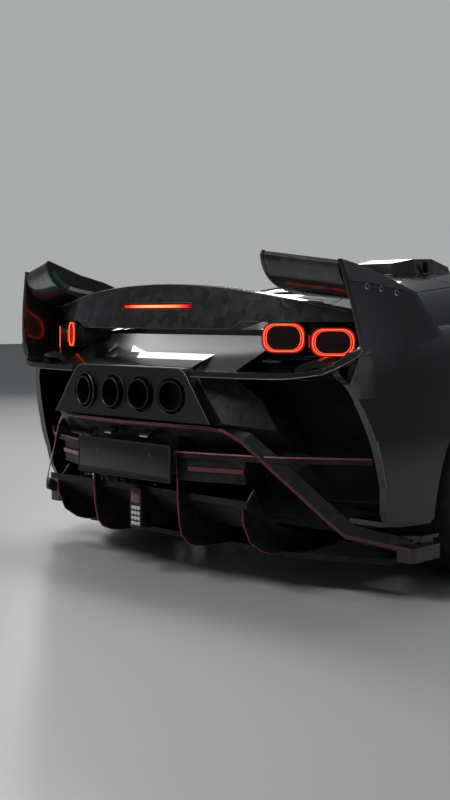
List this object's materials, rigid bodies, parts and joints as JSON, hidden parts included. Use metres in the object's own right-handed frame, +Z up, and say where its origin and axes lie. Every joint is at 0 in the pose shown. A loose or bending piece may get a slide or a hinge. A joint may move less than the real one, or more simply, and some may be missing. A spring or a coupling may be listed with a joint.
{
  "type": "sports car",
  "caption": "Low mid-engined coupe with opening doors and lids, steered spinning wheels, tail fins with winglets, framed diffuser and central exhausts in a row.",
  "frame": {"origin": "on the ground under the middle of the car", "axes": "+X to the driver's left, +Y to the tail, +Z up; the nose points to -Y"},
  "size_m": [2.15, 4.7, 1.247],
  "materials": {
    "paint_black": "deep gloss black paint",
    "carbon": "lacquered chopped carbon fibre, marbled dark grey",
    "satin_black": "satin black",
    "dark_glass": "tinted glass",
    "lamp_red": "lit red light guide",
    "lens_dark": "smoked lens",
    "lamp_clear": "clear lens",
    "reflector_red": "dark red reflector",
    "plate_black": "blank black plate",
    "exhaust": "black ceramic-coated steel",
    "alloy_dark": "gloss black forged alloy",
    "tyre": "road tyre",
    "metal_dark": "cast aluminium",
    "engine_grey": "cast block",
    "leather_black": "black leather",
    "trim_black": "soft-touch trim"
  },
  "bodies": {
    "chassis": {"front_bumper": "paint_black", "front_fenders": "paint_black", "roof": "paint_black", "windscreen": "dark_glass", "side_skirts": "carbon", "rear_quarters": "paint_black", "tail_shelf": "paint_black", "tail_fins": "paint_black", "winglets": "carbon", "spoiler_band": "carbon", "lamp_housings": "satin_black", "tail_lamps": "lamp_red", "exhaust_panel": "satin_black", "exhaust_tips": "exhaust", "tail_core": "paint_black", "bumper_frame": "paint_black", "diffuser": "carbon", "diffuser_blades": "carbon", "reflectors": "reflector_red", "plate_holder": "plate_black", "rain_lamp": "satin_black", "roof_scoop": "carbon", "splitter": "carbon", "headlamps": "lamp_clear", "floor_tub": "carbon", "dashboard": "trim_black", "seats": "leather_black", "engine": "engine_grey", "rear_carriers": "metal_dark", "suspension_arms": "metal_dark", "panel_hinges": "satin_black"},
    "door_l": {"door_left": "paint_black", "door_glass_left": "dark_glass", "mirror_left": "carbon"},
    "door_r": {"door_right": "paint_black", "door_glass_right": "dark_glass", "mirror_right": "carbon"},
    "lid": {"front_lid": "paint_black"},
    "cover": {"engine_cover": "paint_black"},
    "steering": {"steering_wheel": "leather_black"},
    "hub_l": {"knuckle_left": "metal_dark"},
    "hub_r": {"knuckle_right": "metal_dark"},
    "wheel_fl": {"tyre_front_left": "tyre", "rim_front_left": "alloy_dark"},
    "wheel_fr": {"tyre_front_right": "tyre", "rim_front_right": "alloy_dark"},
    "wheel_rl": {"tyre_rear_left": "tyre", "rim_rear_left": "alloy_dark"},
    "wheel_rr": {"tyre_rear_right": "tyre", "rim_rear_right": "alloy_dark"}
  },
  "joints": [
    {"name": "door_left_hinge", "type": "hinge", "parent": "chassis", "child": "door_l", "pos_m": [0.944, -0.8, 0.43], "axis": [0, 0, -1], "range_deg": [0, 62]},
    {"name": "door_right_hinge", "type": "hinge", "parent": "chassis", "child": "door_r", "pos_m": [-0.944, -0.8, 0.43], "axis": [0, 0, 1], "range_deg": [0, 62]},
    {"name": "lid_hinge", "type": "hinge", "parent": "chassis", "child": "lid", "pos_m": [0, -1.015, 0.775], "axis": [-1, 0, 0], "range_deg": [0, 60]},
    {"name": "cover_hinge", "type": "hinge", "parent": "chassis", "child": "cover", "pos_m": [0, 0.862, 1.1615], "axis": [1, 0, 0], "range_deg": [0, 45]},
    {"name": "steering_turn", "type": "hinge", "parent": "chassis", "child": "steering", "pos_m": [0.37, -0.43, 0.69], "axis": [0, 0.9272, 0.3746], "range_deg": [-420, 420]},
    {"name": "steer_left", "type": "hinge", "parent": "chassis", "child": "hub_l", "pos_m": [0.752, -1.29, 0.343], "axis": [0, 0, 1], "range_deg": [-30, 30]},
    {"name": "steer_right", "type": "hinge", "parent": "chassis", "child": "hub_r", "pos_m": [-0.752, -1.29, 0.343], "axis": [0, 0, 1], "range_deg": [-30, 30]},
    {"name": "spin_front_left", "type": "hinge", "parent": "hub_l", "child": "wheel_fl", "pos_m": [0.842, -1.29, 0.343], "axis": [1, 0, 0], "continuous": true},
    {"name": "spin_front_right", "type": "hinge", "parent": "hub_r", "child": "wheel_fr", "pos_m": [-0.842, -1.29, 0.343], "axis": [1, 0, 0], "continuous": true},
    {"name": "spin_rear_left", "type": "hinge", "parent": "chassis", "child": "wheel_rl", "pos_m": [0.842, 1.36, 0.35], "axis": [1, 0, 0], "continuous": true},
    {"name": "spin_rear_right", "type": "hinge", "parent": "chassis", "child": "wheel_rr", "pos_m": [-0.842, 1.36, 0.35], "axis": [1, 0, 0], "continuous": true}
  ],
  "couplings": [
    {"joint": "steer_left", "follows": "steering_turn", "ratio": 0.070715},
    {"joint": "steer_right", "follows": "steering_turn", "ratio": 0.070715}
  ]
}
